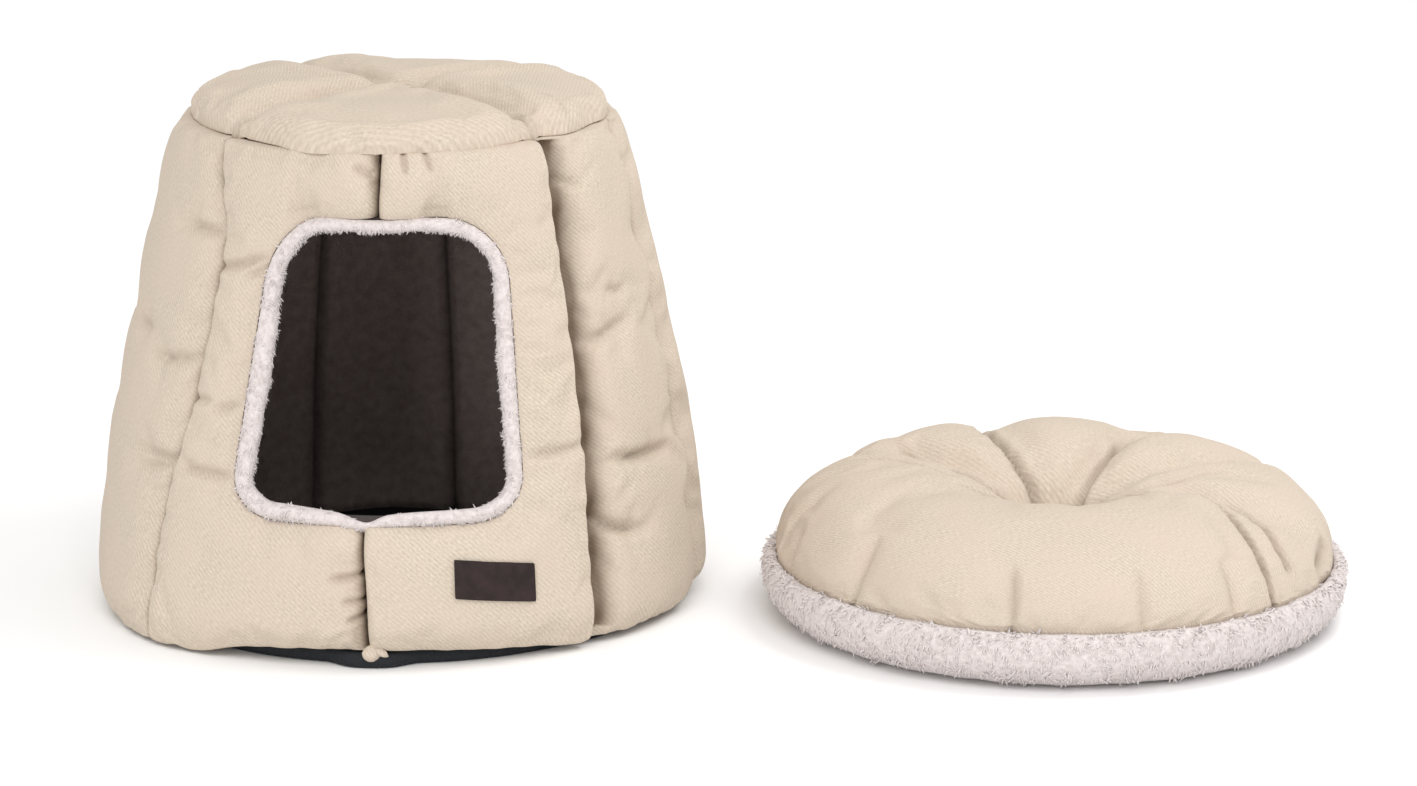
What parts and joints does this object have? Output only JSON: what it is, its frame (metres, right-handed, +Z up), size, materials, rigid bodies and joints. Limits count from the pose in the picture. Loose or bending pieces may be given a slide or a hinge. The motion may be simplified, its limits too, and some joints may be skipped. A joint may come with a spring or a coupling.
{
  "type": "cat cave bed with its loose round cushion",
  "caption": "Padded cat cave of leaning wall panels with a quilted lid, a plush-edged entrance and a loose round tufted cushion beside it.",
  "frame": {"origin": "centre of the set's bounding box, on the surface that the cave and the cushion stand on", "axes": "+Z up, the cave's entrance faces -Y, the cushion stands on the cave's +X side"},
  "size_m": [1.0273, 0.5682, 0.4345],
  "materials": {
    "twill": "matt light beige melange twill",
    "plush": "pinkish white short-haired plush",
    "lining": "dark brown soft napped cloth",
    "base_cloth": "matt black non-slip cloth",
    "leather": "bare dark brown label leather"
  },
  "bodies": {
    "root": {"wall_panel_1": "twill", "wall_panel_2": "twill", "wall_panel_3": "twill", "wall_panel_4": "twill", "wall_panel_5": "twill", "wall_panel_6": "twill", "wall_panel_7": "twill", "wall_panel_8": "twill", "lid_quadrant_1": "twill", "lid_quadrant_2": "twill", "lid_quadrant_3": "twill", "lid_quadrant_4": "twill", "cave_lining": "lining", "cave_base": "base_cloth", "entrance_trim": "plush", "leather_label": "leather", "cushion_body": "twill", "cushion_plush": "plush"}
  },
  "joints": []
}
